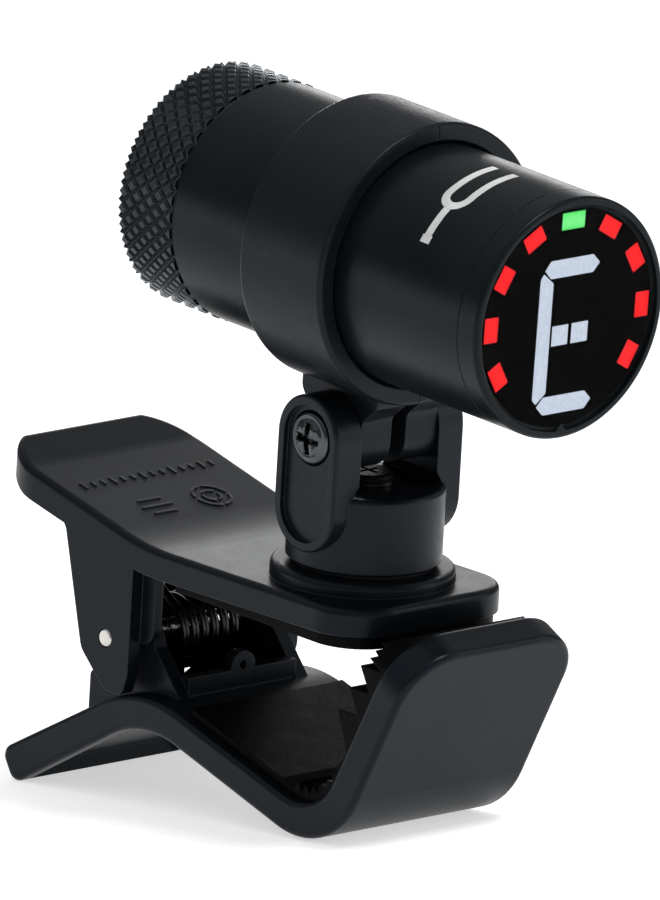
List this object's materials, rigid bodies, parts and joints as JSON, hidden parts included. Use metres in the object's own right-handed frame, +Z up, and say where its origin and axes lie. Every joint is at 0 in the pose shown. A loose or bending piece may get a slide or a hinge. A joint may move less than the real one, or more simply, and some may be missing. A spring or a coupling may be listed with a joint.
{
  "type": "clip on tuner",
  "caption": "Sprung clip with rubber-lined jaws that carries a swivelling, tilting tube with a round lit note display and a knurled rear cap.",
  "frame": {"origin": "on the surface the tuner stands on, under the middle of its bounding box", "axes": "+X forwards, the way the display faces; +Y across the clip, towards the tilt screw's nut; +Z up. The clip rests on the foot of its lower handle and on the corner of its lower jaw, which leans the clip and the swivel axis forwards by 6.2 degrees."},
  "size_m": [0.0742, 0.0282, 0.072],
  "materials": {
    "clip_plastic": "fine satin grain",
    "turret_plastic": "fine satin grain",
    "jaw_rubber": "matt",
    "pin_steel": "bright cut ends",
    "spring_steel": "drawn wire",
    "screw_steel": "nickel plated",
    "nylon": "smooth",
    "tube_plastic": "satin",
    "smoked_window": "polished, smoked",
    "mask_black": "matt",
    "light_red": "lit",
    "light_green": "lit",
    "light_white": "lit",
    "chip_yellow": "clear resin",
    "board_green": "solder mask",
    "chip_black": "moulded",
    "sensor_brass": "plain",
    "holder_plastic": "plain",
    "cell_steel": "smooth",
    "knurled_black": "black anodised, diamond knurl"
  },
  "bodies": {
    "lower_jaw": {"lower_arm": "clip_plastic", "lower_jaw_liner": "jaw_rubber", "hinge_pin": "pin_steel", "torsion_spring": "spring_steel"},
    "upper_clip": {"upper_arm": "clip_plastic", "upper_jaw_liner": "jaw_rubber", "swivel_nut": "screw_steel", "swivel_washer": "nylon", "spring_washer": "spring_steel", "swivel_screw": "screw_steel"},
    "turret": {"turret": "turret_plastic", "tilt_screw": "screw_steel", "tilt_nut": "screw_steel"},
    "head": {"collar_near": "turret_plastic", "collar_far": "turret_plastic"},
    "barrel": {"tube": "tube_plastic", "front_bezel": "tube_plastic", "display_window": "smoked_window", "display_mask": "mask_black", "pitch_lights_red": "light_red", "pitch_light_green": "light_green", "note_segments": "light_white", "light_chips": "chip_yellow", "display_board": "board_green", "main_board": "board_green", "control_chip": "chip_black", "piezo_disc": "sensor_brass", "battery_holder": "holder_plastic", "coin_cell": "cell_steel", "positive_contact": "sensor_brass"},
    "cap": {"knurled_cap": "knurled_black", "cap_seal": "jaw_rubber", "cap_contact": "sensor_brass"}
  },
  "joints": [
    {"name": "jaw_hinge", "type": "hinge", "parent": "lower_jaw", "child": "upper_clip", "pos_m": [-0.02023, 0, 0.01606], "axis": [0, -1, 0], "range_deg": [0, 32], "stiffness_Nm_per_rad": 0.1, "springref_deg": -68.75, "deforming": ["torsion_spring"]},
    {"name": "turret_swivel", "type": "hinge", "parent": "upper_clip", "child": "turret", "pos_m": [0.00529, 0, 0.02594], "axis": [0.1086, 0, 0.9941], "continuous": true},
    {"name": "head_tilt", "type": "hinge", "parent": "turret", "child": "head", "pos_m": [0.00671, 0, 0.03887], "axis": [0, 1, 0], "range_deg": [-40, 40]},
    {"name": "barrel_roll", "type": "hinge", "parent": "head", "child": "barrel", "pos_m": [0.00906, 0, 0.05671], "axis": [0.9914, 0, -0.1306], "continuous": true},
    {"name": "cap_twist", "type": "hinge", "parent": "barrel", "child": "cap", "pos_m": [-0.01593, 0, 0.06001], "axis": [0.9914, 0, -0.1306], "range_deg": [0, 90]}
  ]
}
